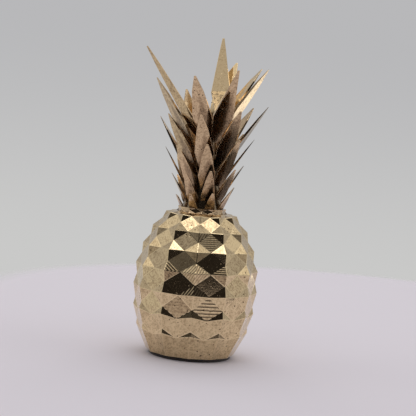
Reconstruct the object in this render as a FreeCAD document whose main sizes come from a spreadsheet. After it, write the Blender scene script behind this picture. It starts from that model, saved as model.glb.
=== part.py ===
import FreeCAD, Part
import math
import os
import Sketcher

# Pineapple figurine: faceted brass body, felt pad, crown stem on a stud, collar and spiral of leaves.
# Millimetres, +Z up. The origin is the centre of the resting face under the pad. Front is -Y.

os.makedirs("parts", exist_ok=True)
doc = FreeCAD.newDocument("pineapple_figurine")
sheet = doc.addObject("Spreadsheet::Sheet", "sizes")

# Driving dimensions
SIZES = [
    # felt pad under the foot
    ("pad_thickness", 0.8),
    ("pad_inset", 0.8),
    # corner radius of each ring line of the body, from the top rim to the foot
    ("rim_radius", 8.25),
    ("second_line_radius", 11.1),
    ("third_line_radius", 13.05),
    ("fourth_line_radius", 14.3),
    ("fifth_line_radius", 14.5),
    ("sixth_line_radius", 14.15),
    ("seventh_line_radius", 13.05),
    ("foot_radius", 10.3),
    # height of each row of diamonds, from the top, and of the plain band
    ("row_one_height", 3.55),
    ("row_two_height", 4.3),
    ("row_three_height", 4.7),
    ("row_four_height", 4.95),
    ("row_five_height", 4.95),
    ("row_six_height", 4.65),
    ("band_height", 5.5),
    # how far the middle of a line is dished in, upper lines and middle lines
    ("rim_dish", 0.35),
    ("upper_dish", 0.7),
    ("middle_dish", 0.5),
    # how far the middle of a line hangs below its corners
    ("rim_sag", 0.25),
    ("fifth_line_sag", 0.25),
    ("sixth_line_sag", 0.75),
    ("seventh_line_sag", 0.7),
    # seat on top of the body
    ("seat_radius", 6.1),
    ("seat_rise", 0.3),
    # faceted collar under the leaves
    ("collar_inset", 0.15),
    ("collar_draw_in", 0.35),
    ("collar_dish", 0.3),
    ("collar_thickness", 1.1),
    # stem of the crown, its spigot and the socket in the body
    ("stem_foot_radius", 4.6),
    ("stem_tip_radius", 1.3),
    ("stem_headroom", 14.2),
    ("spigot_radius", 2.5),
    ("spigot_room", 0.05),
    ("spigot_end_room", 0.1),
    ("socket_depth", 3.2),
    # stud that holds the crown to the body
    ("stud_radius", 1.5),
    ("stud_room", 0.05),
    ("stud_length", 12.0),
    ("stud_chamfer", 0.3),
    ("stud_end_room", 0.3),
    ("thread_hole_depth", 10.5),
    # leaf tips: radius of the first full tier of the spiral and the steps to the next tiers
    ("tip_radius", 6.75),
    ("tip_radius_step_one", 1.15),
    ("tip_radius_step_two", 1.85),
    ("tip_radius_step_three", 1.9),
    ("tip_radius_step_four", 1.25),
    ("tip_radius_step_five", 0.2),
    # the same for their height above the collar
    ("tip_rise", 2.7),
    ("tip_rise_step_one", 4.8),
    ("tip_rise_step_two", 5.85),
    ("tip_rise_step_three", 6.85),
    ("tip_rise_step_four", 7.8),
    ("tip_rise_step_five", 8.4),
    # single leaves that reach further out or up than the rule of the spiral
    ("leaf_23_up", 0.6),
    ("leaf_30_up", -0.6),
    ("leaf_32_out", 1.2),
    ("leaf_32_up", 0.5),
    ("leaf_33_out", -0.65),
    ("leaf_33_up", -1.1),
    ("leaf_37_out", 1.5),
    ("leaf_39_up", 1.0),
    ("leaf_40_out", 0.25),
    ("leaf_40_up", 0.85),
    ("leaf_41_out", -1.0),
    # the two tall leaves at the heart of the crown, from the last tier
    ("leaf_43_out", -0.2),
    ("leaf_43_up", 3.5),
    ("leaf_44_out", 3.4),
    ("leaf_44_up", -0.45),
    # half width of a leaf's blunt tip, and room where its root is cut to its seat
    ("blade_tip_half_width", 0.25),
    ("root_room", 0.02),
]

# Shares and angles (no length in them)
COLUMNS = 12
HALF_STEPS = 2
VALLEY_SHARES = [0.5, 0.52, 0.53, 0.53, 0.67, 0.73]
LEAVES_PER_TIER = 8
LEAF_COUNT = 42
FIRST_LEAF = -3
LEAF_STEP_ANGLE = 43.845
FIRST_LEAF_ANGLE = -69.1
LEAF_LOW_LEAN_ANGLE = 29.0
LEAF_HIGH_LEAN_ANGLE = 33.0
BACK_HEART_ANGLE = 174.0
BACK_HEART_LEAN_ANGLE = 30.0
SIDE_HEART_ANGLE = -72.0
SIDE_HEART_LEAN_ANGLE = 36.0
SLENDER_LEAVES = [39]
# habit of a leaf: sweep, twist about its own length, taper to the shoulder, taper of the sides, and
# share of the sector that it may fill
BROAD_HABIT = {"sweep": 2.8, "twist": 0.0, "tip_taper": 16.0, "side_taper": 8.5, "sector_share": 0.385}
SLENDER_HABIT = {"sweep": 2.0, "twist": 0.0, "tip_taper": 9.5, "side_taper": 10.5, "sector_share": 0.48}
BACK_HEART_HABIT = {"sweep": -5.0, "twist": 0.0, "tip_taper": 8.5, "side_taper": 7.5, "sector_share": 0.5}
SIDE_HEART_HABIT = {"sweep": 0.0, "twist": 25.0, "tip_taper": 5.5, "side_taper": 3.5, "sector_share": 0.5}
SHOULDER_SHARE = 0.31
BLADE_DEPTH_SHARE = 0.28
BLADE_BACK_SHARE = 0.94
COLLAR_VALLEY_SHARE = 0.5

for row, (name, value) in enumerate(SIZES, start=1):
    sheet.set("A%d" % row, name)
    sheet.set("B%d" % row, str(value))
    sheet.setAlias("B%d" % row, name)
doc.recompute()


def size(name):
    """Value of a driving dimension."""
    return float(getattr(sheet, name))


def sizes(names):
    """Values of several driving dimensions."""
    return [size(name) for name in names]


def blend(values, position):
    """Value at a position along a list of values one step apart."""
    last = len(values) - 1
    low = max(0, min(int(math.floor(position)), last - 1))
    share = position - low
    return values[low] * (1 - share) + values[low + 1] * share


def at_angle(radius, angle, height):
    """Point at an angle from the front, positive to the right."""
    turn = math.radians(angle)
    return FreeCAD.Vector(radius * math.sin(turn), -radius * math.cos(turn), height)


def flat_face(points):
    """Planar face through points."""
    return Part.Face(Part.makePolygon(list(points) + [points[0]]))


def solid_of(faces):
    """Closed solid from faces, turned the right way out."""
    solid = Part.makeSolid(Part.makeShell(faces))
    if solid.Volume < 0:
        solid.reverse()
    return solid


def part_feature(label, shape):
    """Object that holds a shape worked out from the sheet."""
    feature = doc.addObject("Part::Feature", label)
    feature.Shape = shape
    feature.Placement = FreeCAD.Placement()
    feature.Label = label
    return feature


def origin_plane(body, role):
    """Origin plane of a body found by its role."""
    for item in body.Origin.OriginFeatures:
        if item.Role == role:
            return item
    raise ValueError("no plane " + role)


def origin_axis(body, role):
    """Origin axis of a body found by its role."""
    for item in body.Origin.OriginFeatures:
        if item.Role == role:
            return item
    raise ValueError("no axis " + role)


def turned_body(label, corners):
    """Body turned about Z from corners given as expressions for radius and height."""
    body = doc.addObject("PartDesign::Body", label)
    body.Label = label
    sketch = body.newObject("Sketcher::SketchObject", label + "_profile")
    sketch.AttachmentSupport = [(origin_plane(body, "XZ_Plane"), "")]
    sketch.MapMode = "FlatFace"
    doc.recompute()
    values = []
    for across, up in corners:
        values.append(FreeCAD.Vector(read(across), read(up), 0))
    count = len(values)
    for index in range(count):
        sketch.addGeometry(Part.LineSegment(values[index], values[(index + 1) % count]), False)
    for index in range(count):
        sketch.addConstraint(Sketcher.Constraint("Coincident", index, 2, (index + 1) % count, 1))
    for index, (across, up) in enumerate(corners):
        if across == "0":
            sketch.addConstraint(Sketcher.Constraint("PointOnObject", index, 1, -2))
        else:
            sketch.addConstraint(Sketcher.Constraint("DistanceX", -1, 1, index, 1, values[index].x))
            sketch.setExpression("Constraints[%d]" % (sketch.ConstraintCount - 1), bound(across))
        if up == "0":
            sketch.addConstraint(Sketcher.Constraint("PointOnObject", index, 1, -1))
        else:
            sketch.addConstraint(Sketcher.Constraint("DistanceY", -1, 1, index, 1, values[index].y))
            sketch.setExpression("Constraints[%d]" % (sketch.ConstraintCount - 1), bound(up))
    turned = body.newObject("PartDesign::Revolution", label + "_turned")
    turned.Profile = sketch
    turned.ReferenceAxis = (origin_axis(body, "Z_Axis"), [""])
    turned.Angle = 360
    body.Tip = turned
    doc.recompute()
    return body


def words(text):
    """Names and signs of a sum such as 'a + b - c'."""
    return text.replace("+", " + ").replace("-", " - ").split()


def read(text):
    """Value of a sum of driving dimensions."""
    total = 0.0
    sign = 1
    for word in words(text):
        if word == "+":
            sign = 1
        elif word == "-":
            sign = -1
        elif word != "0":
            total += sign * size(word)
    return total


def bound(text):
    """The same sum as an expression on the sheet."""
    return " ".join(word if word in "+-" else "sizes." + word for word in words(text))


def bound_cylinder(label, radius, height, level):
    """Cylinder on the Z axis bound to the sheet."""
    cylinder = doc.addObject("Part::Cylinder", label)
    cylinder.setExpression("Radius", bound(radius))
    cylinder.setExpression("Height", bound(height))
    cylinder.setExpression("Placement.Base.z", bound(level))
    return cylinder


def line_point(line, half_step):
    """Point on a ring line: even half steps are corners, odd ones the dished middles."""
    angle = half_step * 180.0 / COLUMNS
    if half_step % HALF_STEPS == 0:
        return at_angle(line["radius"], angle, line["height"])
    middle = line["radius"] * math.cos(math.pi / COLUMNS) - line["dish"]
    return at_angle(middle, angle, line["height"] - line["sag"])


def valley_point(upper, lower, share, half_step):
    """Low point on the ridge between two lines, in the plane of the diamonds beside it."""
    height = upper["height"] * (1 - share) + lower["height"] * share
    top = line_point(upper, 1)
    bottom = line_point(lower, 1)
    along = (top.z - height) / (top.z - bottom.z)
    near = math.hypot(top.x, top.y) * (1 - along) + math.hypot(bottom.x, bottom.y) * along
    return at_angle(near / math.cos(math.pi / COLUMNS), half_step * 180.0 / COLUMNS, height)


# Levels that the pieces share, as sums of driving dimensions
FRUIT_TOP = ("pad_thickness + band_height + row_six_height + row_five_height + row_four_height"
             " + row_three_height + row_two_height + row_one_height")
SEAT = FRUIT_TOP + " + seat_rise"
COLLAR_TOP = SEAT + " + collar_thickness"
LAST_TIP = (COLLAR_TOP + " + tip_rise + tip_rise_step_one + tip_rise_step_two"
            " + tip_rise_step_three + tip_rise_step_four + tip_rise_step_five")
STUD_FOOT = SEAT + " - thread_hole_depth + stud_end_room"
STUD_HEAD = STUD_FOOT + " + stud_length"

# Body hull: twelve columns and six rows of diamonds with raised corners between them
radii = sizes(["rim_radius", "second_line_radius", "third_line_radius", "fourth_line_radius",
               "fifth_line_radius", "sixth_line_radius", "seventh_line_radius", "foot_radius"])
rows = sizes(["row_one_height", "row_two_height", "row_three_height", "row_four_height",
              "row_five_height", "row_six_height", "band_height"])
heights = [sum(rows[count:]) for count in range(len(rows) + 1)]
dishes = sizes(["rim_dish", "upper_dish", "upper_dish", "middle_dish",
                "middle_dish", "middle_dish", "middle_dish"]) + [0.0]
sags = [size("rim_sag"), 0.0, 0.0, 0.0]
sags += sizes(["fifth_line_sag", "sixth_line_sag", "seventh_line_sag"]) + [0.0]
foot_level = size("pad_thickness")
lines = []
for radius, height, dish, sag in zip(radii, heights, dishes, sags):
    lines.append({"radius": radius, "height": foot_level + height, "dish": dish, "sag": sag})


def lattice(ring_lines, shares):
    """Faces of the rows between ring lines: a diamond in each cell and four corner triangles."""
    faces = []
    for column in range(COLUMNS):
        left = HALF_STEPS * column
        middle = left + 1
        right = left + HALF_STEPS
        for upper, lower, share in zip(ring_lines, ring_lines[1:], shares):
            top = line_point(upper, middle)
            bottom = line_point(lower, middle)
            west = valley_point(upper, lower, share, left)
            east = valley_point(upper, lower, share, right)
            faces.append(flat_face([top, west, bottom, east]))
            faces.append(flat_face([line_point(upper, left), west, top]))
            faces.append(flat_face([line_point(upper, right), top, east]))
            faces.append(flat_face([line_point(lower, left), bottom, west]))
            faces.append(flat_face([line_point(lower, right), east, bottom]))
    return faces


hull_faces = lattice(lines[:-1], VALLEY_SHARES)
seat_level = read(SEAT)
seat_ring = []
for column in range(COLUMNS):
    seat_ring.append(at_angle(size("seat_radius"), column * 360.0 / COLUMNS, seat_level))
for column in range(COLUMNS):
    left = HALF_STEPS * column
    middle = left + 1
    right = left + HALF_STEPS
    # plain band between the last line and the foot
    last = lines[-2]
    foot = lines[-1]
    foot_left = line_point(foot, left)
    foot_right = line_point(foot, right)
    hull_faces.append(flat_face([line_point(last, left), foot_left, line_point(last, middle)]))
    hull_faces.append(flat_face([line_point(last, middle), foot_left, foot_right]))
    hull_faces.append(flat_face([line_point(last, right), line_point(last, middle), foot_right]))
    # top slope from the rim to the seat
    seat_left = seat_ring[column]
    seat_right = seat_ring[(column + 1) % COLUMNS]
    hull_faces.append(flat_face([line_point(lines[0], left), line_point(lines[0], middle), seat_left]))
    hull_faces.append(flat_face([line_point(lines[0], middle), seat_right, seat_left]))
    hull_faces.append(flat_face([line_point(lines[0], middle), line_point(lines[0], right), seat_right]))
hull_faces.append(flat_face(seat_ring))
hull_faces.append(flat_face([line_point(lines[-1], HALF_STEPS * column) for column in range(COLUMNS)]))
hull = part_feature("body_hull", solid_of(hull_faces))

# Socket for the spigot and tapped hole for the stud
socket = bound_cylinder("socket_tool", "spigot_radius + spigot_room", "socket_depth",
                        SEAT + " - socket_depth")
thread_hole = bound_cylinder("thread_hole_tool", "stud_radius + stud_room", "thread_hole_depth",
                             SEAT + " - thread_hole_depth")
hollows = doc.addObject("Part::MultiFuse", "body_hollows")
hollows.Shapes = [socket, thread_hole]
fruit = doc.addObject("Part::Cut", "body")
fruit.Base = hull
fruit.Tool = hollows
fruit.Label = "body"

# Felt pad
pad = turned_body("base_pad", [
    ("0", "0"),
    ("foot_radius - pad_inset", "0"),
    ("foot_radius - pad_inset", "pad_thickness"),
    ("0", "pad_thickness"),
])

# Faceted collar under the leaves, one small row of the same lattice
collar_top = read(COLLAR_TOP)
collar_low_radius = size("seat_radius") - size("collar_inset")
collar_dish = size("collar_dish")
collar_high_radius = collar_low_radius - size("collar_draw_in")
collar_lines = [
    {"radius": collar_high_radius, "height": collar_top, "dish": collar_dish, "sag": 0.0},
    {"radius": collar_low_radius, "height": seat_level, "dish": collar_dish, "sag": 0.0},
]
collar_faces = lattice(collar_lines, [COLLAR_VALLEY_SHARE])
for line in collar_lines:
    collar_faces.append(flat_face([line_point(line, half_step) for half_step in range(HALF_STEPS * COLUMNS)]))
collar_hull = part_feature("collar_hull", solid_of(collar_faces))
collar_bore = bound_cylinder("collar_bore_tool", "spigot_radius + spigot_room", "collar_thickness", SEAT)
collar = doc.addObject("Part::Cut", "crown_collar")
collar.Base = collar_hull
collar.Tool = collar_bore
collar.Label = "crown_collar"

# Stem of the crown with its spigot and the hole for the stud
SPIGOT_END = SEAT + " - socket_depth + spigot_end_room"
STEM_TIP = LAST_TIP + " - stem_headroom"
stem = turned_body("crown_stem", [
    ("stud_radius + stud_room", SPIGOT_END),
    ("spigot_radius", SPIGOT_END),
    ("spigot_radius", COLLAR_TOP),
    ("stem_foot_radius", COLLAR_TOP),
    ("stem_tip_radius", STEM_TIP),
    ("0", STEM_TIP),
    ("0", STUD_HEAD + " + stud_end_room"),
    ("stud_radius + stud_room", STUD_HEAD + " + stud_end_room"),
])

# Stud, standing just above the bottom of the tapped hole
stud = turned_body("crown_stud", [
    ("0", STUD_FOOT),
    ("stud_radius - stud_chamfer", STUD_FOOT),
    ("stud_radius", STUD_FOOT + " + stud_chamfer"),
    ("stud_radius", STUD_HEAD + " - stud_chamfer"),
    ("stud_radius - stud_chamfer", STUD_HEAD),
    ("0", STUD_HEAD),
])
doc.recompute()

# Seat that every leaf root is cut to: the cone of the stem and the top of the collar
root_room = size("root_room")
cone = Part.makeCone(
    size("stem_foot_radius") + root_room,
    size("stem_tip_radius") + root_room,
    read(STEM_TIP) - collar_top,
    FreeCAD.Vector(0, 0, collar_top),
)
ground = Part.makeCylinder(read(LAST_TIP), collar_top + root_room)
root_seat = cone.fuse(ground)


def blade(angle, lean, tip_radius, tip_level, habit):
    """Leaf as a flat plate that grows thicker as it grows wider, cut to its seat."""
    turn = math.radians(angle)
    tilt = math.radians(lean)
    outward = FreeCAD.Vector(math.sin(turn), -math.cos(turn), 0)
    across = FreeCAD.Vector(math.cos(turn), math.sin(turn), 0)
    down = outward * (-math.sin(tilt)) + FreeCAD.Vector(0, 0, -math.cos(tilt))
    inward = outward * (-math.cos(tilt)) + FreeCAD.Vector(0, 0, math.sin(tilt))
    # the leaf is swept sideways in its own plane about its tip, then twisted about its own length
    swept = math.radians(habit["sweep"])
    down, across = (down * math.cos(swept) + across * math.sin(swept),
                    across * math.cos(swept) - down * math.sin(swept))
    twisted = math.radians(habit["twist"])
    across, inward = (across * math.cos(twisted) + inward * math.sin(twisted),
                      inward * math.cos(twisted) - across * math.sin(twisted))
    tip = at_angle(tip_radius, angle, tip_level)
    # the sides run apart to a shoulder, less so to where they meet the leaf's own sector, then draw in
    sector = habit["sector_share"]
    tip_half = size("blade_tip_half_width")
    shoulder = SHOULDER_SHARE * tip_radius
    shoulder_half = tip_half + shoulder * math.tan(math.radians(habit["tip_taper"]))
    spread = math.tan(math.radians(habit["side_taper"]))
    crowding = 1 + sector * BLADE_DEPTH_SHARE / math.cos(tilt)
    reach = sector * tip_radius - crowding * (shoulder_half - shoulder * spread)
    widest = reach / (crowding * spread + sector * math.sin(tilt))
    widest_half = shoulder_half + (widest - shoulder) * spread
    last = (tip_radius - crowding * tip_half / sector) / math.sin(tilt)
    stations = [(0.0, tip_half), (shoulder, shoulder_half), (widest, widest_half), (last, tip_half)]
    rings = []
    for distance, half in stations:
        centre = tip + down * distance
        depth = BLADE_DEPTH_SHARE * half
        back = BLADE_BACK_SHARE * half
        outline = [(-half, 0.0), (half, 0.0), (back, depth), (-back, depth)]
        rings.append([centre + across * x + inward * y for x, y in outline])
    faces = [flat_face(rings[0]), flat_face(rings[-1])]
    for first, second in zip(rings, rings[1:]):
        for corner in range(len(first)):
            after = (corner + 1) % len(first)
            faces.append(flat_face([first[corner], second[corner], second[after], first[after]]))
    shape = solid_of(faces).cut(root_seat)
    pieces = sorted(shape.Solids, key=lambda item: item.Volume)
    return pieces[-1]


# Tip radius and height above the collar at each full tier of the spiral
STEPS = ["one", "two", "three", "four", "five"]
tip_radii = [size("tip_radius")]
tip_rises = [size("tip_rise")]
for step in STEPS:
    tip_radii.append(tip_radii[-1] + size("tip_radius_step_" + step))
    tip_rises.append(tip_rises[-1] + size("tip_rise_step_" + step))
named = [name for name, value in SIZES]


def extra(number, way):
    """Reach of a single leaf beyond the rule, where it has one."""
    name = "leaf_%02d_%s" % (number, way)
    return size(name) if name in named else 0.0


def grow(number, position, angle, lean, habit):
    """Leaf whose tip lies at a position along the tiers, as an object of the document."""
    return part_feature("leaf_%02d" % number, blade(
        angle,
        lean,
        blend(tip_radii, position) + extra(number, "out"),
        collar_top + blend(tip_rises, position) + extra(number, "up"),
        habit,
    ))


# Spiral of leaves
leaves = []
last_index = FIRST_LEAF + LEAF_COUNT - 1
for number in range(1, LEAF_COUNT + 1):
    index = FIRST_LEAF + number - 1
    lean = blend([LEAF_LOW_LEAN_ANGLE, LEAF_HIGH_LEAN_ANGLE], max(0.0, index / last_index))
    angle = FIRST_LEAF_ANGLE + index * LEAF_STEP_ANGLE
    habit = SLENDER_HABIT if number in SLENDER_LEAVES else BROAD_HABIT
    leaves.append(grow(number, index / LEAVES_PER_TIER, angle, lean, habit))

# The two tall leaves at the heart of the crown, at the back and at the left side
leaves.append(grow(LEAF_COUNT + 1, len(STEPS), BACK_HEART_ANGLE, BACK_HEART_LEAN_ANGLE, BACK_HEART_HABIT))
leaves.append(grow(LEAF_COUNT + 2, len(STEPS), SIDE_HEART_ANGLE, SIDE_HEART_LEAN_ANGLE, SIDE_HEART_HABIT))
doc.recompute()

# Check and write
nodes = [fruit, pad, collar, stem, stud] + leaves
for item in doc.Objects:
    if "Invalid" in item.State or "Error" in item.State:
        raise RuntimeError("bad object " + item.Label)
for node in nodes:
    if node.Shape.isNull() or not node.Shape.isValid():
        raise RuntimeError("bad shape " + node.Label)
    if len(node.Shape.Solids) != 1 or node.Shape.Volume <= 0:
        raise RuntimeError("not one solid " + node.Label)
    node.Shape.exportStep("parts/%s.step" % node.Label)
print("nodes written:", len(nodes))
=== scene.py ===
"""Looks of the pineapple figurine: faceted brass fruit, crown of brass leaves, felt pad and a pale studio."""

import logging
import math
import random
from dataclasses import dataclass, field
from enum import Enum
from functools import cached_property
from typing import Any, Iterable, Optional, Union

import bmesh
import bpy
from mathutils import Matrix, Vector


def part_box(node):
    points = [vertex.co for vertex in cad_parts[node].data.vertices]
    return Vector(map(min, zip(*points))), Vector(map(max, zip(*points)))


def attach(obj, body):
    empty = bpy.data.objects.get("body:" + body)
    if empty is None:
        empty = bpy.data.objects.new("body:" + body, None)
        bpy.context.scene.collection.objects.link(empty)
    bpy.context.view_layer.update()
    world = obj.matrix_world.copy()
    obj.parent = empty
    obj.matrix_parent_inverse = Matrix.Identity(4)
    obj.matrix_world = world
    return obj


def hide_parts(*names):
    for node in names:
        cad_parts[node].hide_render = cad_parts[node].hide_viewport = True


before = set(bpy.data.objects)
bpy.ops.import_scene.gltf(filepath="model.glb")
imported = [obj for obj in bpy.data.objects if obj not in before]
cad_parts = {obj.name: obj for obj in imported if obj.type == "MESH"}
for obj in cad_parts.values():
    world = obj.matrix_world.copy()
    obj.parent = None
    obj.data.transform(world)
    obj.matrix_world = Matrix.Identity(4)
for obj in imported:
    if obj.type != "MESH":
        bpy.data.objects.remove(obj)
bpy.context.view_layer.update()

log = logging.getLogger("figurine")

Colour = tuple[float, float, float]
Range = tuple[float, float]

MM = 0.001
NOISE_MIDDLE = 0.5
SAME_POINT = 0.002 * MM
FLAT_ANGLE = math.radians(0.3)
EDGE_SEGMENTS = 2
EDGE_PROFILE = 0.6
# Tone of rounded edges: a painted highlight.
EDGE_HIGHLIGHT_TONE = -0.7
UPRIGHT = Vector((0.0, 0.0, 1.0))
SMALLEST_SINE = 0.01


class Way(Enum):
    """Way in which a cutter has left its lines on a facet, as their angle over the level in degrees."""

    LEVEL = 0.0
    RISING = 60.0
    FALLING = -40.0


class Wire:
    """Output of a shader node that can stand in Python sums."""

    def __init__(self, graph: "Graph", socket: bpy.types.NodeSocket) -> None:
        """Keeps the graph and the output socket."""
        self.graph = graph
        self.socket = socket

    def _math(self, operation: str, first: Any, second: Any = None) -> "Wire":
        """Result of a Math node, with a second value where the operation has one."""
        sockets = {0: first} if second is None else {0: first, 1: second}
        return self.graph.node("ShaderNodeMath", sockets, operation=operation)

    def __add__(self, other: Any) -> "Wire":
        """Sum."""
        return self._math("ADD", self, other)

    def __radd__(self, other: Any) -> "Wire":
        """Sum with the wire on the right."""
        return self._math("ADD", other, self)

    def __sub__(self, other: Any) -> "Wire":
        """Difference."""
        return self._math("SUBTRACT", self, other)

    def __rsub__(self, other: Any) -> "Wire":
        """Difference with the wire on the right."""
        return self._math("SUBTRACT", other, self)

    def __mul__(self, other: Any) -> "Wire":
        """Product."""
        return self._math("MULTIPLY", self, other)

    def __rmul__(self, other: Any) -> "Wire":
        """Product with the wire on the right."""
        return self._math("MULTIPLY", other, self)

    def __truediv__(self, other: Any) -> "Wire":
        """Quotient."""
        return self._math("DIVIDE", self, other)

    def __rtruediv__(self, other: Any) -> "Wire":
        """Quotient with the wire below the line."""
        return self._math("DIVIDE", other, self)

    def __pow__(self, other: Any) -> "Wire":
        """Power."""
        return self._math("POWER", self, other)

    def __gt__(self, other: Any) -> "Wire":
        """One where this wire is the greater, else zero."""
        return self._math("GREATER_THAN", self, other)

    def __lt__(self, other: Any) -> "Wire":
        """One where this wire is the smaller, else zero."""
        return self._math("LESS_THAN", self, other)

    def sine(self) -> "Wire":
        """Sine of the wire, in radians."""
        return self._math("SINE", self)

    def absolute(self) -> "Wire":
        """The wire without its sign."""
        return self._math("ABSOLUTE", self)

    def step(self, low: float, high: float) -> "Wire":
        """Smooth rise from zero at low to one at high."""
        settings = {"interpolation_type": "SMOOTHSTEP", "clamp": True}
        return self.graph.node("ShaderNodeMapRange", {0: self, 1: low, 2: high}, **settings)


class Graph:
    """Node tree of a material, the world or a modifier, filled by calls."""

    def __init__(self, tree: bpy.types.NodeTree) -> None:
        """Empties a tree and keeps it."""
        self.tree = tree
        tree.nodes.clear()

    def node(
        self,
        kind: str,
        sockets: Optional[dict[Union[int, str], Any]] = None,
        output: Union[int, str] = 0,
        **settings: Any,
    ) -> Wire:
        """Adds a node, with its settings first and then the values or links of its sockets.

        Args:
            kind: Type of the node.
            sockets: Input sockets by name or number, with a value or a wire each.
            output: Output socket to return, by name or number.
            settings: Attributes of the node.

        Returns:
            The chosen output as a wire.
        """
        made = self.tree.nodes.new(kind)
        for name, value in settings.items():
            setattr(made, name, value)
        for name, value in (sockets or {}).items():
            self.feed(made.inputs[name], value)
        return Wire(self, made.outputs[output] if len(made.outputs) else None)

    def feed(self, socket: bpy.types.NodeSocket, value: Any) -> None:
        """Links a wire to a socket, or sets the socket's value.

        Args:
            socket: Input socket.
            value: Wire, number or tuple.
        """
        if isinstance(value, Wire):
            self.tree.links.new(value.socket, socket)
        elif socket.type == "RGBA" and len(value) == 3:
            socket.default_value = (*value, 1.0)
        else:
            socket.default_value = value

    def split(self, vector: Wire) -> list[Wire]:
        """Three parts of a vector, along X, Y and Z."""
        parts = self.node("ShaderNodeSeparateXYZ", {0: vector})
        return [Wire(self, socket) for socket in parts.socket.node.outputs]

    @cached_property
    def place(self) -> Wire:
        """Object coordinates, in metres."""
        return self.node("ShaderNodeTexCoord", output="Object")

    def attribute(self, name: str, output: str) -> Wire:
        """Value that the mesh carries under a name, as a number (Fac) or a Vector."""
        return self.node("ShaderNodeAttribute", output=output, attribute_name=name)

    def vector(self, operation: str, first: Any, second: Any = (0.0, 0.0, 0.0), output: int = 0) -> Wire:
        """Result of a Vector Math node: output 0 is a vector, output 1 a number."""
        return self.node("ShaderNodeVectorMath", {0: first, 1: second}, output=output, operation=operation)

    def mix(self, share: Any, first: Any, second: Any) -> Wire:
        """Mix of two colours with a share of the second one."""
        return self.node("ShaderNodeMix", {0: share, 6: first, 7: second}, output=2, data_type="RGBA")

    def noise(self, size: float, detail: float = 3.0, roughness: float = 0.55) -> Wire:
        """Noise from zero to one, with spots of a size in metres."""
        sockets = {"Vector": self.place, "Scale": 1.0 / size, "Detail": detail, "Roughness": roughness}
        return self.node("ShaderNodeTexNoise", sockets, output="Fac")

    def cells(self, size: float, output: str = "Distance") -> Wire:
        """Cells of a size in metres: the distance to a cell's centre, in cells, or its random colour."""
        return self.node("ShaderNodeTexVoronoi", {"Vector": self.place, "Scale": 1.0 / size}, output=output)

    def bump(self, height: Wire, **sockets: Wire) -> Wire:
        """Normal of a surface that rises by a height in metres, over the socket Normal where it is given."""
        return self.node("ShaderNodeBump", {"Strength": 1.0, "Distance": 1.0, "Height": height, **sockets})

    def principled(self, sockets: dict[str, Any]) -> None:
        """Ends a material in a Principled shader with these sockets."""
        shader = self.node("ShaderNodeBsdfPrincipled", sockets)
        self.node("ShaderNodeOutputMaterial", {"Surface": shader})


def new_material(name: str) -> tuple[bpy.types.Material, Graph]:
    """Makes a material with an empty node tree.

    Args:
        name: Name of the material.

    Returns:
        The material and its graph.
    """
    material = bpy.data.materials.new(name)
    material.use_nodes = True
    return material, Graph(material.node_tree)


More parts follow.
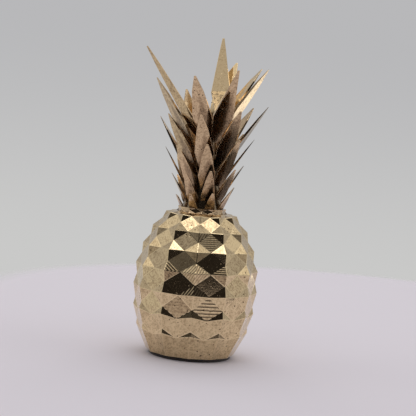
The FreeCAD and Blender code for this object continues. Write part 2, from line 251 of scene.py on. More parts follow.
@dataclass(frozen=True)
class BrassFinish:
    """Cut brass: mottled colour, pinholes, fine grain and the lines of the cutter.

    Sizes are in metres. A facet's tilt, tone and cutter lines come from attributes of the mesh; the tone
    holds random tone and painted light and shade. A dull or shaded spot has a value near one and a bright or
    lit one near zero, and past the painted shade range the metal takes the dark colour all over, as painted
    shade.
    """

    name: str
    bright: Colour
    # Dark colour of the pinholes and cutter grooves, and of painted shade.
    dull: Colour
    stain_and_painted_shade: Colour
    roughness: float = 0.12
    roughness_spread: float = 0.08
    mottle_size: float = 1.1 * MM
    mottle_range: Range = (0.34, 0.70)
    mottle_weight: float = 0.4
    speckle_size: float = 0.42 * MM
    speckle_range: Range = (0.46, 0.62)
    speckle_weight: float = 0.6
    # Painted shade past this range turns the metal to the dark colour.
    painted_shade_range: Range = (1.1, 2.2)
    pinhole_spacing: float = 0.95 * MM
    pinhole_share: float = 0.24
    pinhole_edge: Range = (0.55, 1.0)
    pinhole_roughness: float = 0.4
    pinhole_depth: float = 0.0195 * MM
    smallest_pinhole: float = 0.001
    grain_size: float = 0.40 * MM
    grain_height: float = 0.0065 * MM
    line_pitch: float = 0.58 * MM
    line_height: float = 0.013 * MM
    wobble_size: float = 2.32 * MM
    wobble: float = 2.0
    groove_range: Range = (0.1, 1.0)
    # How much darker the cutter grooves are drawn.
    groove_darkening: float = 0.55
    # The fields below shape the painted shade down the middle of each leaf.
    streak_size: float = 1.6 * MM
    shade_streak_tone: float = 1.05
    shade_streak_start: float = 0.25
    shade_streak_spread: float = 2.0
    shade_streak_border: float = 0.4
    shade_streak_edge: Range = (-0.10, 0.30)

    def material(self) -> bpy.types.Material:
        """Builds the finish.

        Returns:
            The material.
        """
        material, graph = new_material(self.name)
        # Random dullness together with painted light and shade.
        worn_and_shaded = self.wear_and_painted_light(graph)
        hole = self.pinholes(graph)
        lines = self.cutter_lines(graph)
        # The grooves of the cutter lines are drawn darker.
        groove = (lines * -1.0).step(*self.groove_range) * self.groove_darkening
        body = graph.mix(worn_and_shaded, self.bright, self.dull)
        spread = (worn_and_shaded - NOISE_MIDDLE) * self.roughness_spread
        plain = graph.node("ShaderNodeNewGeometry", output="Normal")
        facing = graph.vector("NORMALIZE", graph.vector("ADD", plain, graph.attribute("tilt", "Vector")))
        metal = {
            "Base Color": graph.mix(hole + groove + worn_and_shaded.step(*self.painted_shade_range), body, self.stain_and_painted_shade),
            "Metallic": 1.0,
            "Roughness": self.roughness + spread + hole * self.pinhole_roughness,
            "Normal": graph.bump(self.relief(graph, hole, lines), Normal=facing),
        }
        graph.principled(metal)
        return material

    def wear_and_painted_light(self, graph: Graph) -> Wire:
        """How dull and how shaded the metal is: mottling, speckle, the facet's tone with its painted light
        and shade, and the painted shade down the leaves.

        Args:
            graph: Graph of the material.

        Returns:
            Zero where the metal is bright or has painted light, one where it is dull, more where painted
            shade darkens it.
        """
        mottle = graph.noise(self.mottle_size).step(*self.mottle_range)
        speckle = graph.noise(self.speckle_size, detail=2.0).step(*self.speckle_range)
        # The tone attribute and the leaf term add painted light and shade.
        tone_with_painted_light = graph.attribute("tone", "Fac") + self.painted_shade_streak(graph) * self.shade_streak_tone
        return mottle * self.mottle_weight + speckle * self.speckle_weight + tone_with_painted_light

    def painted_shade_streak(self, graph: Graph) -> Wire:
        """Painted shade that widens down the middle of a leaf, where the leaf in front stands over it, with
        an uneven border.

        Args:
            graph: Graph of the material.

        Returns:
            One where the painted shade is full, zero where there is none.
        """
        along, across, _ = graph.split(graph.attribute("leaf_place", "Vector"))
        wedge = (along - self.shade_streak_start) * self.shade_streak_spread - across.absolute()
        border = (graph.noise(self.streak_size) - NOISE_MIDDLE) * self.shade_streak_border
        return (wedge + border).step(*self.shade_streak_edge)

    def pinholes(self, graph: Graph) -> Wire:
        """Small dark holes, one in most cells, of uneven size.

        Args:
            graph: Graph of the material.

        Returns:
            One in a hole, else zero.
        """
        colour = graph.cells(self.pinhole_spacing, output="Color")
        chance = graph.node("ShaderNodeSeparateColor", {0: colour})
        reach = chance * self.pinhole_share + self.smallest_pinhole
        return 1.0 - (graph.cells(self.pinhole_spacing) / reach).step(*self.pinhole_edge)

    def cutter_lines(self, graph: Graph) -> Wire:
        """Even lines on the facets that carry them, as deep as the mesh says.

        Args:
            graph: Graph of the material.

        Returns:
            One on a ridge and minus one in a groove of full depth, zero where there are no lines.
        """
        run = graph.vector("DOT_PRODUCT", graph.attribute("line_way", "Vector"), graph.place, output=1)
        wobble = graph.noise(self.wobble_size, detail=1.0) * self.wobble
        depth = graph.attribute("line_depth", "Fac")
        return (run * (math.tau / self.line_pitch) + wobble).sine() * depth

    def relief(self, graph: Graph, hole: Wire, lines: Wire) -> Wire:
        """Height of the surface over the plain facet, in metres, from its grain, lines and pinholes."""
        grain = graph.noise(self.grain_size, detail=4.0) * self.grain_height
        return grain + lines * self.line_height - hole * self.pinhole_depth


@dataclass(frozen=True)
class FeltFinish:
    """Dark wool felt: uneven colour and a soft nap."""

    name: str = "dark_felt"
    wool: Colour = (0.030, 0.027, 0.028)
    fluff: Colour = (0.075, 0.068, 0.066)
    fluff_range: Range = (0.35, 0.65)
    fibre_size: float = 0.12 * MM
    fibre_weight: float = 0.7
    patch_size: float = 1.44 * MM
    patch_weight: float = 0.3
    nap_height: float = 0.03 * MM
    roughness: float = 0.92
    roughness_spread: float = 0.08
    sheen: float = 0.4
    sheen_roughness: float = 0.5

    def material(self) -> bpy.types.Material:
        """Builds the finish.

        Returns:
            The material.
        """
        material, graph = new_material(self.name)
        fibres = graph.noise(self.fibre_size, detail=4.0, roughness=0.7)
        patches = graph.noise(self.patch_size, detail=2.0)
        fluffy = fibres * self.fibre_weight + patches * self.patch_weight
        cloth = {
            "Base Color": graph.mix(fluffy.step(*self.fluff_range), self.wool, self.fluff),
            "Roughness": self.roughness + fibres * self.roughness_spread,
            "Sheen Weight": self.sheen,
            "Sheen Roughness": self.sheen_roughness,
            "Normal": graph.bump(fibres * self.nap_height),
        }
        graph.principled(cloth)
        return material


@dataclass(frozen=True)
class SteelFinish:
    """Plain turned steel of the stud."""

    name: str = "bright_steel"
    bright: Colour = (0.56, 0.57, 0.58)
    dull: Colour = (0.38, 0.385, 0.39)
    streak_size: float = 0.4 * MM
    streak_range: Range = (0.3, 0.7)
    roughness: float = 0.22
    roughness_spread: float = 0.2

    def material(self) -> bpy.types.Material:
        """Builds the finish.

        Returns:
            The material.
        """
        material, graph = new_material(self.name)
        streaks = graph.noise(self.streak_size, detail=4.0)
        metal = {
            "Base Color": graph.mix(streaks.step(*self.streak_range), self.bright, self.dull),
            "Metallic": 1.0,
            "Roughness": self.roughness + streaks * self.roughness_spread,
        }
        graph.principled(metal)
        return material


def merged_mesh(node: str) -> bmesh.types.BMesh:
    """Copy of a CAD node's mesh with its triangles merged back to flat faces.

    Args:
        node: Name of the CAD node.

    Returns:
        The merged mesh.
    """
    mesh = bmesh.new()
    mesh.from_mesh(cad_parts[node].data)
    bmesh.ops.remove_doubles(mesh, verts=mesh.verts, dist=SAME_POINT)
    bmesh.ops.dissolve_limit(mesh, angle_limit=FLAT_ANGLE, verts=mesh.verts, edges=mesh.edges)
    mesh.normal_update()
    return mesh


def object_from(mesh: bmesh.types.BMesh, name: str, material: bpy.types.Material) -> bpy.types.Object:
    """Object of the scene from a mesh, which is freed.

    Args:
        mesh: Mesh in the frame's own place.
        name: Name of the object.
        material: Its material.

    Returns:
        The object.
    """
    data = bpy.data.meshes.new(name)
    mesh.to_mesh(data)
    mesh.free()
    data.materials.clear()
    data.materials.append(material)
    made = bpy.data.objects.new(name, data)
    bpy.context.scene.collection.objects.link(made)
    return made


def sharp_edges(mesh: bmesh.types.BMesh, angle: float, shortest: float = 0.0) -> list[bmesh.types.BMEdge]:
    """Edges between two facets.

    Args:
        mesh: Mesh with the edges.
        angle: Angle that the facets turn by at least, in radians.
        shortest: Length that an edge must pass.

    Returns:
        The edges.
    """
    turning = [edge for edge in mesh.edges if edge.calc_face_angle(0.0) > angle]
    return [edge for edge in turning if edge.calc_length() > shortest]


def bevel_edges(mesh: bmesh.types.BMesh, edges: Iterable[bmesh.types.BMEdge], width: float) -> None:
    """Rounds edges and paints them a little brighter than the faces beside them, as a painted highlight.

    Args:
        mesh: Mesh to change.
        edges: Edges to round.
        width: Width of the round on each face.
    """
    rounded = bmesh.ops.bevel(
        mesh,
        geom=list(edges),
        offset=width,
        offset_type="OFFSET",
        segments=EDGE_SEGMENTS,
        profile=EDGE_PROFILE,
        affect="EDGES",
        clamp_overlap=False,
        harden_normals=False,
    )
    # The rounds get a painted highlight through a lower tone.
    tone = mesh.faces.layers.float.get("tone")
    for face in rounded["faces"] if tone else []:
        face[tone] = EDGE_HIGHLIGHT_TONE


def baked_modifiers(made: bpy.types.Object) -> bpy.types.Object:
    """Turns the evaluated object into a plain mesh and drops its modifiers.

    Args:
        made: Object with modifiers.

    Returns:
        The same object with a plain mesh.
    """
    graph = bpy.context.evaluated_depsgraph_get()
    data = bpy.data.meshes.new_from_object(made.evaluated_get(graph))
    made.modifiers.clear()
    old = made.data
    made.data = data
    bpy.data.meshes.remove(old)
    data.name = made.name
    return made


class Modelling:
    """Geometry Nodes tree with named inputs, put on an object and turned into its mesh."""

    def __init__(self, name: str) -> None:
        """Starts a tree with a mesh input and a mesh output.

        Args:
            name: Name of the tree.
        """
        self.tree = bpy.data.node_groups.new(name, "GeometryNodeTree")
        self.graph = Graph(self.tree)
        self.tree.interface.new_socket("Mesh", in_out="INPUT", socket_type="NodeSocketGeometry")
        self.tree.interface.new_socket("Mesh", in_out="OUTPUT", socket_type="NodeSocketGeometry")
        self.start = self.tree.nodes.new("NodeGroupInput")
        self.values: dict[str, Any] = {}

    def input(self, name: str, kind: str, value: Any) -> Wire:
        """Adds a named input.

        Args:
            name: Name of the input.
            kind: Kind of value: Float, Int or Material.
            value: Its value on the object.

        Returns:
            The input as a wire.
        """
        socket = self.tree.interface.new_socket(name, in_out="INPUT", socket_type=f"NodeSocket{kind}")
        self.values[socket.identifier] = value
        return Wire(self.graph, self.start.outputs[name])

    def mesh(self) -> Wire:
        """Mesh of the object that carries the tree."""
        return Wire(self.graph, self.start.outputs["Mesh"])

    def joined(self, more: Wire) -> Wire:
        """Joins more geometry to the mesh of the object.

        Args:
            more: Geometry to join.

        Returns:
            The mesh and the geometry as one wire.
        """
        both = self.graph.node("GeometryNodeJoinGeometry", {0: self.mesh()})
        self.graph.feed(both.socket.node.inputs[0], more)
        return both

    def apply(self, made: bpy.types.Object, result: Wire, finish: bpy.types.Material) -> bpy.types.Object:
        """Ends the tree, runs it on an object and keeps the result as a plain mesh.

        Args:
            made: Object that carries the tree.
            result: Mesh that the tree has made.
            finish: Material of the result.

        Returns:
            The object with its new mesh and no modifier.
        """
        solid = self.graph.node("GeometryNodeRealizeInstances", {0: result})
        material = self.input("Finish", "Material", finish)
        dressed = self.graph.node("GeometryNodeSetMaterial", {"Geometry": solid, "Material": material})
        self.graph.node("NodeGroupOutput", {0: dressed})
        modifier = made.modifiers.new(self.tree.name, "NODES")
        modifier.node_group = self.tree
        for identifier, value in self.values.items():
            modifier[identifier] = value
        return baked_modifiers(made)


@dataclass
class Ring:
    """Piece with equal columns round its axis, one of which is cut out and repeated."""

    node: str
    columns: int
    core_radius: float
    merge_distance: float = 0.003 * MM

    def build(self, finish: bpy.types.Material) -> bmesh.types.BMesh:
        """Makes the piece from one column and its core.

        Args:
            finish: Material of the piece.

        Returns:
            The whole mesh.
        """
        column = merged_mesh(self.node)
        others = [face for face in column.faces if not self.in_first_column(face)]
        bmesh.ops.delete(column, geom=others, context="FACES")
        core = merged_mesh(self.node)
        outside = [face for face in core.faces if self.radius(face) > self.core_radius]
        bmesh.ops.delete(core, geom=outside, context="FACES")
        ring = self.repeated(object_from(column, f"{self.node}_column", finish), finish)
        inner = object_from(core, f"{self.node}_core", finish)
        whole = bmesh.new()
        for made in (ring, inner):
            whole.from_mesh(made.data)
            bpy.data.objects.remove(made)
        bmesh.ops.remove_doubles(whole, verts=whole.verts, dist=self.merge_distance)
        bmesh.ops.recalc_face_normals(whole, faces=whole.faces)
        return whole

    def repeated(self, column: bpy.types.Object, finish: bpy.types.Material) -> bpy.types.Object:
        """Repeats a column round the axis with Geometry Nodes.

        Args:
            column: Object with the mesh of one column.
            finish: Material of the piece.

        Returns:
            The object with the mesh of all the columns.
        """
        tree = Modelling(f"{self.node}_round_the_axis")
        graph = tree.graph
        count = tree.input("Columns", "Int", self.columns)
        merge = tree.input("Merge Distance", "Float", self.merge_distance)
        points = graph.node("GeometryNodePoints", {"Count": count})
        turn = graph.node("GeometryNodeInputIndex") * math.tau / count
        angles = graph.node("ShaderNodeCombineXYZ", {2: turn})
        rotation = graph.node("FunctionNodeEulerToRotation", {0: angles})
        copies = graph.node(
            "GeometryNodeInstanceOnPoints",
            {"Points": points, "Instance": tree.mesh(), "Rotation": rotation},
        )
        solid = graph.node("GeometryNodeRealizeInstances", {0: copies})
        joined = graph.node("GeometryNodeMergeByDistance", {"Geometry": solid, "Distance": merge})
        return tree.apply(column, joined, finish)

    def in_first_column(self, face: bmesh.types.BMFace) -> bool:
        """Whether a face lies in the column to the right of the front.

        Args:
            face: Face of the piece.

        Returns:
            True for a face of the first column.
        """
        centre = face.calc_center_median()
        share = math.atan2(centre.x, -centre.y) * self.columns / math.tau
        return 0.0 < share < 1.0 and self.radius(face) > self.core_radius

    @staticmethod
    def radius(face: bmesh.types.BMFace) -> float:
        """Distance of a face's middle from the axis."""
        return face.calc_center_median().xy.length


def hand_over(made: bpy.types.Object, node: str) -> None:
    """Lets a piece ride on the figurine's body in place of a CAD node.

    Args:
        made: Finished piece.
        node: CAD node that it stands for.
    """
    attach(made, "root")
    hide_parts(node)
    log.info("%s: %d faces, in place of %s", made.name, len(made.data.polygons), node)


@dataclass(frozen=True)
class Spot:
    """Place of a facet on the fruit: angle from the front in degrees, level of its middle in millimetres."""

    angle: float
    level: float

    def distance(self, centre: Vector) -> float:
        """How far a facet's middle is from this place.

        Args:
            centre: Middle of the facet.

        Returns:
            The distance, measured on the facet's own radius.
        """
        angle = math.radians(self.angle)
        radius = centre.xy.length
        place = Vector((radius * math.sin(angle), -radius * math.cos(angle), self.level * MM))
        return (centre - place).length


@dataclass(frozen=True)
class CutterMark(Spot):
    """Lines that the cutter has left on one facet, and how many times closer than usual they lie."""

    way: Way
    depth: float
    closeness: float = 1.0


@dataclass(frozen=True)
class Shade:
    """Painted light or shade of a face as a tone, and its small turn and lift, in degrees to its right and
    upwards.
    """

    tone: float = 0.0
    turn: float = 0.0
    lift: float = 0.0

    def slopes(self) -> tuple[float, float]:
        """The turn and the lift as slopes."""
        return math.tan(math.radians(self.turn)), math.tan(math.radians(self.lift))


@dataclass(frozen=True)
class Touch(Shade, Spot):
    """Painted light or shade of the facet at a place."""


@dataclass(frozen=True)
class LeafTouch(Shade):
    """Painted light or shade of a leaf's broad faces above a level."""

    above: float = 0.0


@dataclass
class Facets:
    """Tone with painted light and shade, tilt and cutter lines of each facet, kept as attributes of the mesh.
    """

    seed: int
    tone_spread: float
    tilt_spread: float
    mark_share: float = 0.0
    marks: list[CutterMark] = field(default_factory=list)
    touches: list[Touch] = field(default_factory=list)
    # Painted shade on faces that look up.
    upward_painted_shade: float = 0.0
    upward_share: float = 0.35
    stray_depth: Range = (0.1, 0.4)
    reach: float = 0.85 * MM

    def mark(self, mesh: bmesh.types.BMesh) -> None:
        """Gives every facet its attributes.

        Args:
            mesh: Mesh to mark.
        """
        chance = random.Random(self.seed)
        tone = mesh.faces.layers.float.new("tone")
        tilt = mesh.faces.layers.float_vector.new("tilt")
        line_way = mesh.faces.layers.float_vector.new("line_way")
        line_depth = mesh.faces.layers.float.new("line_depth")
        for face in mesh.faces:
            face[tone] = chance.gauss(0.0, self.tone_spread)
            # Faces that look up can get painted shade.
            if face.normal.z > self.upward_share:
                face[tone] += self.upward_painted_shade
            face[tilt] = [chance.gauss(0.0, self.tilt_spread) for _ in "xyz"]
            lines = self.lines(face, chance)
            angle = math.radians(lines.way.value)
            face[line_way] = self.in_plane(face, -math.sin(angle), math.cos(angle)) * lines.closeness
            face[line_depth] = lines.depth
            # A listed painted light or shade replaces the facet's random tone and tilt.
            shade = self.shade(face)
            if shade:
                face[tone] = shade.tone
                face[tilt] = self.in_plane(face, *shade.slopes())

    def lines(self, face: bmesh.types.BMFace, chance: random.Random) -> CutterMark:
        """Chooses the cutter lines of a facet.

        Args:
            face: The facet.
            chance: Source of random numbers.

        Returns:
            The mark that the facet carries, of no depth where it is plain.
        """
        marked = chance.random() < self.mark_share
        way = chance.choice(list(Way))
        depth = chance.uniform(*self.stray_depth) if marked else 0.0
        return self.nearest(self.marks, face) or CutterMark(0.0, 0.0, way, depth)

    def shade(self, face: bmesh.types.BMFace) -> Optional[Shade]:
        """Own shade of a facet, if it has one."""
        return self.nearest(self.touches, face)

    def nearest(self, spots: list[Any], face: bmesh.types.BMFace) -> Optional[Any]:
        """Finds the spot that means a facet.

        Args:
            spots: Spots to choose from.
            face: The facet.

        Returns:
            The nearest spot within reach, if there is one.
        """
        centre = face.calc_center_median()
        near = [spot for spot in spots if spot.distance(centre) < self.reach]
        return min(near, key=lambda spot: spot.distance(centre)) if near else None

    @staticmethod
    def in_plane(face: bmesh.types.BMFace, right: float, up: float) -> Vector:
        """Vector in the plane of a facet.

        Args:
            face: The facet.
            right: Its part to the right, seen from outside.
            up: Its part upwards.

        Returns:
            The vector.
        """
        level = UPRIGHT.cross(face.normal)
        if level.length < SMALLEST_SINE:
            return Vector((0.0, up, 0.0))
        level.normalize()
        return level * right + face.normal.cross(level) * up


@dataclass
class LeafFacets(Facets):
    """Facets of a leaf, whose broad faces have painted light and shade for the side that looks at the axis
    and the other.
    """

    inner: list[LeafTouch] = field(default_factory=list)
    outer: list[LeafTouch] = field(default_factory=list)
    broad_share: float = 0.4

    def shade(self, face: bmesh.types.BMFace) -> Optional[Shade]:
        """Chooses the shade of a broad face.

        Args:
            face: The face.

        Returns:
            The first shade of its side that starts below the face's middle, if there is one.
        """
        centre = face.calc_center_median()
        facing = face.normal.dot(Vector((centre.x, centre.y, 0.0)).normalized())
        if abs(facing) < self.broad_share:
            return None
        side = self.inner if facing < 0.0 else self.outer
        return next((touch for touch in side if centre.z > touch.above), None)


@dataclass
class Fruit:
    """Faceted body of the fruit, dressed facet by facet."""

    finish: BrassFinish
    columns: int = 12
    core_radius: float = 6.4 * MM
    edge_width: float = 0.10 * MM
    facet_angle: float = math.radians(3.0)

    def build(self) -> None:
        """Makes the body in place of its CAD node."""
        material = self.finish.material()
        mesh = Ring("body", self.columns, self.core_radius).build(material)
        facets = Facets(seed=5, tone_spread=0.07, tilt_spread=0.010, mark_share=0.15)
        facets.marks = self.marks()
        # Listed facets get painted light and shade as tones, with small tilts.
        facets.touches = self.touches()
        facets.mark(mesh)
        bevel_edges(mesh, sharp_edges(mesh, self.facet_angle), self.edge_width)
        hand_over(object_from(mesh, "fruit", material), "body")

    @staticmethod
    def marks() -> list[CutterMark]:
        """Cutter lines that the front of the fruit shows."""
        return [
            CutterMark(-15.0, 27.7, Way.RISING, 0.08, 1.2),
            CutterMark(15.0, 27.7, Way.LEVEL, 0.25, 1.2),
            CutterMark(-25.0, 21.6, Way.FALLING, 0.7),
            CutterMark(-5.0, 21.6, Way.RISING, 0.7),
            CutterMark(5.0, 21.6, Way.RISING, 1.0),
            CutterMark(25.0, 21.6, Way.LEVEL, 0.4, 1.2),
            CutterMark(-25.0, 20.0, Way.FALLING, 0.7),
            CutterMark(-5.0, 20.0, Way.RISING, 1.3),
            CutterMark(5.0, 20.0, Way.RISING, 1.3),
            CutterMark(25.0, 20.0, Way.LEVEL, 0.8),
            CutterMark(15.0, 18.2, Way.LEVEL, 0.02),
            CutterMark(-5.0, 16.6, Way.RISING, 0.9),
            CutterMark(5.0, 16.6, Way.RISING, 0.5),
            CutterMark(-15.0, 12.8, Way.LEVEL, 0.3, 0.8),
            CutterMark(15.0, 12.8, Way.LEVEL, 1.4, 0.75),
        ]

    @staticmethod
    def touches() -> list[Touch]:
        """Lists the painted light and shade, as tones, and the tilts of facets on the front of the fruit.

        Returns:
            The touches of single facets and then those of pairs, one on each side.
        """
        touches = [
            Touch(-15.0, 33.5, tone=1.3),
            Touch(15.0, 33.5, tone=0.4),
            Touch(-15.0, 27.7, lift=1.5),
            Touch(-45.0, 27.7, tone=-0.3),
            Touch(45.0, 27.7, tone=-0.4),
            Touch(-55.0, 29.1, tone=0.2, turn=2.0),
            Touch(55.0, 29.1, tone=0.3, turn=-3.0),
            Touch(-15.0, 23.2, turn=-8.0),
            Touch(5.0, 21.6, tone=0.5),
            Touch(-25.0, 20.0, tone=1.2),
            Touch(25.0, 20.0, tone=0.9),
            Touch(-5.0, 20.0, tone=0.5),
            Touch(5.0, 20.0, tone=0.2),
            Touch(-15.0, 12.8, tone=0.6),
            Touch(15.0, 12.8, tone=-0.2),
        ]
        for side in (-1.0, 1.0):
            touches += [
                Touch(side * 25.0, 33.4, tone=1.0),
                Touch(side * 55.0, 33.4, tone=1.0),
                Touch(side * 25.0, 32.7, tone=0.5, lift=-3.0),
                Touch(side * 55.0, 32.7, tone=0.8, turn=side * -10.0, lift=-6.0),
                Touch(side * 15.0, 31.5, tone=0.3),
                Touch(side * 5.0, 24.7, tone=0.7),
                Touch(side * 55.0, 24.7, tone=0.7),
                Touch(side * 25.0, 21.6, tone=0.5, lift=-1.0),
                Touch(side * 55.0, 11.3, tone=0.3),
                Touch(side * 5.0, 9.6, tone=-0.1),
                Touch(side * 25.0, 9.6, tone=-0.1),
                Touch(side * 15.0, 7.8, tone=-0.1),
                Touch(side * 5.0, 6.5, lift=2.5),
                Touch(side * 25.0, 6.5, lift=2.5),
            ]
        return touches


@dataclass
class Crown:
    """Collar, stem and the spiral of leaves."""

    finish: BrassFinish
    lit_finish: BrassFinish
    # Darker brass for the stem, as painted shade.
    shaded_stem_finish: BrassFinish
    leaf_count: int = 44
    last_shade_streaked: int = 39
    lit_leaves: tuple[int, ...] = (41, 42, 43)
    # Front leaves whose backs get painted shade, and its tone.
    painted_shade_backs: tuple[int, ...] = (7, 13, 14, 15, 21, 22, 23, 29, 30, 31, 37, 38, 39)
    back_painted_shade_tone: float = 1.9
    columns: int = 12
    core_radius: float = 5.2 * MM
    edge_width: float = 0.035 * MM
    facet_angle: float = math.radians(12.0)
    shortest_edge: float = 0.4 * MM

    def build(self) -> None:
        """Makes every leaf, the collar and the stem."""
        material = self.finish.material()
        lit = self.lit_finish.material()
        for number in range(1, self.leaf_count + 1):
            self.leaf(number, lit if number in self.lit_leaves else material)
        self.collar(material)
        # The stem gets a darker brass, painted shade inside the crown.
        shaded_stem = self.shaded_stem_finish.material()
        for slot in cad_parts["crown_stem"].material_slots:
            slot.material = shaded_stem

    def leaf(self, number: int, material: bpy.types.Material) -> None:
        """Makes a leaf with softened edges.

        Args:
            number: Number of the leaf.
            material: Finish of the leaf.
        """
        node = f"leaf_{number:02d}"
        mesh = merged_mesh(node)
        facets = LeafFacets(seed=number, tone_spread=0.10, tilt_spread=0.008)
        facets.inner = self.inner_touches(number)
        facets.outer = self.outer_touches(number)
        facets.mark(mesh)
        bevel_edges(mesh, sharp_edges(mesh, self.facet_angle, self.shortest_edge), self.edge_width)
        # Leaves up to this number get painted shade down their middle.
        if number <= self.last_shade_streaked:
            self.lay_out(mesh)
        hand_over(object_from(mesh, f"blade_{number:02d}", material), node)

    @staticmethod
    def lay_out(mesh: bmesh.types.BMesh) -> None:
        """Notes on each corner of a leaf how far along and across the leaf it lies.

        The first part runs from zero at the tip to one at the root, the second from minus one to one.

        Args:
            mesh: Mesh of the leaf.
        """
        leaf_place = mesh.verts.layers.float_vector.new("leaf_place")
        tip = max(mesh.verts, key=lambda corner: corner.co.z).co
        root = min(mesh.verts, key=lambda corner: corner.co.z).co
        down = root - tip
        broad = max(mesh.faces, key=lambda face: face.calc_area())
        side = down.cross(broad.normal).normalized()
        half_width = max(abs((corner.co - tip).dot(side)) for corner in mesh.verts)
        for corner in mesh.verts:
            offset = corner.co - tip
            corner[leaf_place] = (offset.dot(down) / down.length_squared, offset.dot(side) / half_width, 0.0)

    def inner_touches(self, number: int) -> list[LeafTouch]:
        """Painted light and shade, with tilts, of a leaf's faces that look towards the axis.

        Args:
            number: Number of the leaf.

        Returns:
            The shades, the highest first.
        """
        # The backs of these front leaves get painted shade.
        if number in self.painted_shade_backs:
            return [LeafTouch(tone=self.back_painted_shade_tone)]
        chosen = {
            41: [LeafTouch(tone=-0.3)],
            42: [LeafTouch(tone=-0.6, lift=-7.0)],
            43: [LeafTouch(tone=-0.35, lift=6.0, above=62.0 * MM), LeafTouch(tone=1.0, lift=9.5)],
        }
        return chosen.get(number, [])

    @staticmethod
    def outer_touches(number: int) -> list[LeafTouch]:
        """Painted shade, with tilts, of a leaf's faces that look away from the axis."""
        chosen = {31: [LeafTouch(tone=0.4, turn=4.0)], 32: [LeafTouch(tone=1.3)]}
        return chosen.get(number, [])

    def collar(self, material: bpy.types.Material) -> None:
        """Makes the faceted collar, with painted shade on the facets that look up.

        Args:
            material: Finish of the collar.
        """
        mesh = Ring("crown_collar", self.columns, self.core_radius).build(material)
        facets = Facets(seed=self.leaf_count + 1, tone_spread=0.1, tilt_spread=0.03, upward_painted_shade=1.5)
        facets.mark(mesh)
        bevel_edges(mesh, sharp_edges(mesh, self.facet_angle, self.shortest_edge), self.edge_width)
        hand_over(object_from(mesh, "collar", material), "crown_collar")


@dataclass
class Pad:
    """Felt disc under the fruit, with a soft edge and a nap of short fibres round its side."""

    finish: FeltFinish
    edge_width: float = 0.12 * MM
    facet_angle: float = math.radians(30.0)
    fibre_density: float = 22.0e6
    fibre_length: float = 0.15 * MM
    fibre_radius: float = 0.014 * MM
    fibre_sides: int = 3
    least_lean: tuple[float, float, float] = (-0.4, -0.4, -0.1)
    most_lean: tuple[float, float, float] = (0.4, 0.4, 0.4)
    lowest_fibre: float = 0.14 * MM
    steepest_side: float = 0.5
    seed: int = 7

    def build(self) -> None:
        """Makes the disc in place of its CAD node."""
        material = self.finish.material()
        mesh = merged_mesh("base_pad")
        bevel_edges(mesh, sharp_edges(mesh, self.facet_angle), self.edge_width)
        disc = object_from(mesh, "felt_disc", material)
        hand_over(self.with_nap(disc, material), "base_pad")

    def with_nap(self, disc: bpy.types.Object, material: bpy.types.Material) -> bpy.types.Object:
        """Sets fibres on the side of the disc with Geometry Nodes.

        Args:
            disc: The plain disc.
            material: Felt.

        Returns:
            The same object with its fibres.
        """
        tree = Modelling("felt_nap")
        graph = tree.graph
        density = tree.input("Fibre Density", "Float", self.fibre_density)
        length = tree.input("Fibre Length", "Float", self.fibre_length)
        radius = tree.input("Fibre Radius", "Float", self.fibre_radius)
        lowest = tree.input("Lowest Fibre", "Float", self.lowest_fibre)
        points = graph.node(
            "GeometryNodeDistributePointsOnFaces",
            {"Mesh": tree.mesh(), "Density": density, "Seed": self.seed},
        )
        normal = Wire(graph, points.socket.node.outputs["Normal"])
        lean = graph.node(
            "FunctionNodeRandomValue",
            {"Min": self.least_lean, "Max": self.most_lean, "Seed": self.seed},
            data_type="FLOAT_VECTOR",
        )
        way = graph.vector("ADD", normal, lean)
        turn = graph.node("FunctionNodeAlignRotationToVector", {"Vector": way}, axis="Z")
        level = graph.split(graph.node("GeometryNodeInputPosition"))[2]
        upward = graph.vector("DOT_PRODUCT", normal, tuple(UPRIGHT), output=1)
        sideways = upward.absolute() < self.steepest_side
        fibre = graph.node(
            "GeometryNodeMeshCone",
            {"Vertices": self.fibre_sides, "Radius Top": 0.0, "Radius Bottom": radius, "Depth": length},
            fill_type="NONE",
        )
        nap = graph.node(
            "GeometryNodeInstanceOnPoints",
            {"Points": points, "Selection": (level > lowest) * sideways, "Instance": fibre, "Rotation": turn},
        )
        whole = tree.joined(graph.node("GeometryNodeRealizeInstances", {0: nap}))
        return tree.apply(disc, whole, material)


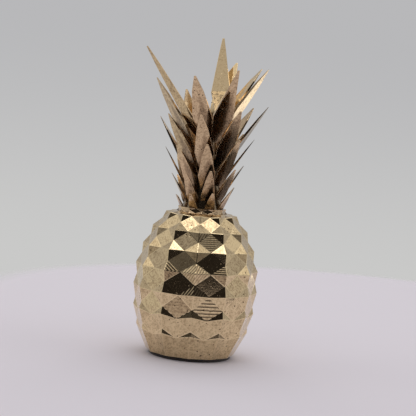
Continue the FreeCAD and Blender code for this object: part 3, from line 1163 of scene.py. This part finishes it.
@dataclass
class Stud:
    """Threaded stud hidden between the fruit and the stem."""

    finish: SteelFinish
    core_radius: float = 1.25 * MM
    thread_radius: float = 1.36 * MM
    thread_pitch: float = 0.5 * MM
    ridge_radius: float = 0.13 * MM
    ridge_sides: int = 4
    steps_per_turn: int = 16
    plain_end: float = 0.4 * MM

    def build(self) -> None:
        """Makes the stud in place of its CAD node."""
        material = self.finish.material()
        mesh = merged_mesh("crown_stud")
        widest = max(corner.co.xy.length for corner in mesh.verts)
        for corner in mesh.verts:
            corner.co.xy *= self.core_radius / widest
        rod = object_from(mesh, "threaded_stud", material)
        hand_over(self.with_thread(rod, material), "crown_stud")

    def with_thread(self, rod: bpy.types.Object, material: bpy.types.Material) -> bpy.types.Object:
        """Winds the thread round the rod with Geometry Nodes.

        Args:
            rod: The plain rod.
            material: Steel.

        Returns:
            The same object with its thread.
        """
        (_, _, bottom), (_, _, top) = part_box("crown_stud")
        rise = top - bottom - 2.0 * self.plain_end
        tree = Modelling("stud_thread")
        graph = tree.graph
        spiral = {
            "Resolution": tree.input("Steps per Turn", "Int", self.steps_per_turn),
            "Rotations": tree.input("Turns", "Float", rise / self.thread_pitch),
            "Start Radius": tree.input("Thread Radius", "Float", self.thread_radius),
            "End Radius": tree.input("Thread End Radius", "Float", self.thread_radius),
            "Height": tree.input("Thread Rise", "Float", rise),
        }
        ridge = {
            "Resolution": tree.input("Ridge Sides", "Int", self.ridge_sides),
            "Radius": tree.input("Ridge Radius", "Float", self.ridge_radius),
        }
        path = graph.node("GeometryNodeCurveSpiral", spiral)
        profile = graph.node("GeometryNodeCurvePrimitiveCircle", ridge)
        sockets = {"Curve": path, "Profile Curve": profile, "Fill Caps": True}
        thread = graph.node("GeometryNodeCurveToMesh", sockets)
        lifted = graph.node(
            "GeometryNodeTransform",
            {"Geometry": thread, "Translation": (0.0, 0.0, bottom + self.plain_end)},
        )
        return tree.apply(rod, tree.joined(lifted), material)


@dataclass(frozen=True)
class Table:
    """Pale round table, longer towards the viewer, whose rim fades into the room."""

    colour: Colour = (0.780, 0.735, 0.787)
    roughness: float = 0.55
    middle: tuple[float, float] = (0.050, 0.074)
    reach: float = 0.113
    near_reach: float = 0.260
    rim: float = 0.05
    half_side: float = 1.0

    def build(self) -> None:
        """Lays the table."""
        mesh = bmesh.new()
        bmesh.ops.create_grid(mesh, x_segments=1, y_segments=1, size=self.half_side)
        material, graph = new_material("pale_table")
        right, far, _ = graph.split(graph.place)
        across = right - self.middle[0]
        back = far - self.middle[1]
        reach = self.near_reach + (back > 0.0) * (self.reach - self.near_reach)
        spread = across / self.reach
        depth = back / reach
        faded = ((spread * spread + depth * depth) ** 0.5).step(1.0 - self.rim, 1.0 + self.rim)
        paint = {"Base Color": self.colour, "Roughness": self.roughness, "Specular IOR Level": 0.0}
        top = graph.node("ShaderNodeBsdfPrincipled", paint)
        clear = graph.node("ShaderNodeBsdfTransparent")
        shader = graph.node("ShaderNodeMixShader", {0: faded, 1: top, 2: clear})
        graph.node("ShaderNodeOutputMaterial", {"Surface": shader})
        object_from(mesh, "table", material)


@dataclass(frozen=True)
class Card:
    """Small level card beside the figurine that only mirroring faces show, and the light that it gives."""

    name: str
    left: float
    near: float
    right: float
    far: float
    light: float
    level: float = 1.0 * MM
    paint: Colour = (0.022, 0.020, 0.020)
    glow: Colour = (1.0, 0.97, 0.84)
    roughness: float = 0.9

    def build(self) -> None:
        """Lays the card."""
        mesh = bmesh.new()
        near = [(side, self.near, self.level) for side in (self.left, self.right)]
        far = [(side, self.far, self.level) for side in (self.right, self.left)]
        mesh.faces.new([mesh.verts.new(corner) for corner in near + far])
        material, graph = new_material(self.name)
        surface = {
            "Base Color": self.paint,
            "Roughness": self.roughness,
            "Emission Color": self.glow,
            "Emission Strength": self.light,
        }
        graph.principled(surface)
        made = object_from(mesh, self.name, material)
        made.visible_camera = False
        made.visible_diffuse = False
        made.visible_shadow = False


@dataclass(frozen=True)
class Room:
    """Grey room: paler low down and high up at both sides, dark towards the viewer."""

    low: Colour = (0.585, 0.585, 0.578)
    high: Colour = (0.478, 0.478, 0.489)
    high_range: Range = (-0.13, 0.05)
    side: Colour = (0.95, 0.94, 0.90)
    side_range: Range = (0.90, 0.99)
    dark: Colour = (0.022, 0.020, 0.020)
    dark_width: float = 0.80
    dark_height: float = 0.56
    dark_level: float = 0.12
    dark_rim: Range = (0.85, 1.45)
    dark_depth: Range = (-0.25, 0.0)

    def build(self) -> None:
        """Fills the world."""
        world = bpy.data.worlds.new("room")
        world.use_nodes = True
        bpy.context.scene.world = world
        graph = Graph(world.node_tree)
        across, back, height = graph.split(graph.node("ShaderNodeTexCoord", output="Generated"))
        grey = graph.mix(height.step(*self.high_range), self.low, self.high)
        slanting = (across.absolute() + height) * math.sqrt(0.5)
        lit = graph.mix(slanting.step(*self.side_range), grey, self.side)
        spread = across / self.dark_width
        rise = (height - self.dark_level) / self.dark_height
        inside = 1.0 - (spread * spread + rise * rise).step(*self.dark_rim)
        front = 1.0 - back.step(*self.dark_depth)
        colour = graph.mix(inside * front, lit, self.dark)
        shader = graph.node("ShaderNodeBackground", {"Color": colour, "Strength": 1.0})
        graph.node("ShaderNodeOutputWorld", {"Surface": shader})


@dataclass(frozen=True)
class SoftLamp:
    """Soft lamp that looks at the figurine, and the brightness of its face, where one is white."""

    name: str
    place: tuple[float, float, float]
    width: float
    height: float
    shine: float
    target: tuple[float, float, float] = (0.0, 0.0, 0.04)

    def build(self) -> None:
        """Hangs the lamp."""
        light = bpy.data.lights.new(self.name, "AREA")
        light.shape = "RECTANGLE"
        light.size = self.width
        light.size_y = self.height
        light.energy = self.shine * math.pi * self.width * self.height
        lamp = bpy.data.objects.new(self.name, light)
        lamp.location = self.place
        lamp.rotation_euler = (Vector(self.target) - lamp.location).to_track_quat("-Z", "Y").to_euler()
        bpy.context.scene.collection.objects.link(lamp)


@dataclass(frozen=True)
class Viewer:
    """Camera at the viewing angle of the picture."""

    place: tuple[float, float, float] = (0.003844, -0.32873, 0.06134)
    turn: float = math.radians(0.433)
    dip: float = math.radians(4.621)
    roll: float = math.radians(5.139)
    focal_pixels: float = 1415.2
    picture_pixels: float = 416.0
    film_width: float = 36.0
    nearest: float = 0.01
    farthest: float = 20.0

    def build(self) -> None:
        """Stands the camera up."""
        data = bpy.data.cameras.new("viewer")
        data.sensor_width = self.film_width
        data.lens = self.film_width * self.focal_pixels / self.picture_pixels
        data.clip_start = self.nearest
        data.clip_end = self.farthest
        viewer = bpy.data.objects.new("viewer", data)
        turned = Matrix.Rotation(self.turn, 4, "Z")
        dipped = Matrix.Rotation(math.pi / 2 - self.dip, 4, "X")
        rolled = Matrix.Rotation(self.roll, 4, "Z")
        viewer.matrix_world = Matrix.Translation(self.place) @ turned @ dipped @ rolled
        bpy.context.scene.collection.objects.link(viewer)
        bpy.context.scene.camera = viewer


def build_studio() -> None:
    """Makes the stage, the light and the camera."""
    Table().build()
    Card("dark_card", left=0.047, near=0.0, right=0.060, far=0.038, light=0.0).build()
    Card("pale_card", left=0.080, near=0.138, right=0.125, far=0.184, light=1.5).build()
    Room().build()
    SoftLamp("front_lamp", (0.0, -0.27, 0.57), width=0.54, height=0.22, shine=1.6).build()
    SoftLamp("back_lamp", (0.0, 0.28, 0.52), width=0.60, height=0.40, shine=1.3).build()
    Viewer().build()
    bpy.context.scene.view_settings.view_transform = "Standard"


def main() -> None:
    """Builds the figurine's looks and the studio."""
    logging.basicConfig(level=logging.INFO, format="%(name)s: %(message)s")
    build_studio()
    fruit_brass = BrassFinish(
        name="fruit_brass",
        bright=(0.82, 0.64, 0.385),
        dull=(0.48, 0.35, 0.20),
        stain_and_painted_shade=(0.17, 0.12, 0.07),
    )
    leaf_brass = BrassFinish(
        name="leaf_brass",
        bright=(0.74, 0.545, 0.335),
        dull=(0.40, 0.275, 0.165),
        stain_and_painted_shade=(0.15, 0.105, 0.065),
    )
    lit_brass = BrassFinish(
        name="lit_brass",
        bright=(0.86, 0.65, 0.38),
        dull=(0.54, 0.38, 0.20),
        stain_and_painted_shade=(0.17, 0.12, 0.07),
    )
    # Darker brass of the stem, painted shade inside the crown.
    shaded_stem_brass = BrassFinish(
        name="shaded_stem_brass",
        bright=(0.34, 0.26, 0.17),
        dull=(0.20, 0.15, 0.10),
        stain_and_painted_shade=(0.08, 0.06, 0.04),
        roughness=0.25,
        roughness_spread=0.10,
    )
    Fruit(fruit_brass).build()
    Crown(leaf_brass, lit_brass, shaded_stem_brass).build()
    Pad(FeltFinish()).build()
    Stud(SteelFinish()).build()


if __name__ == "__main__":
    main()
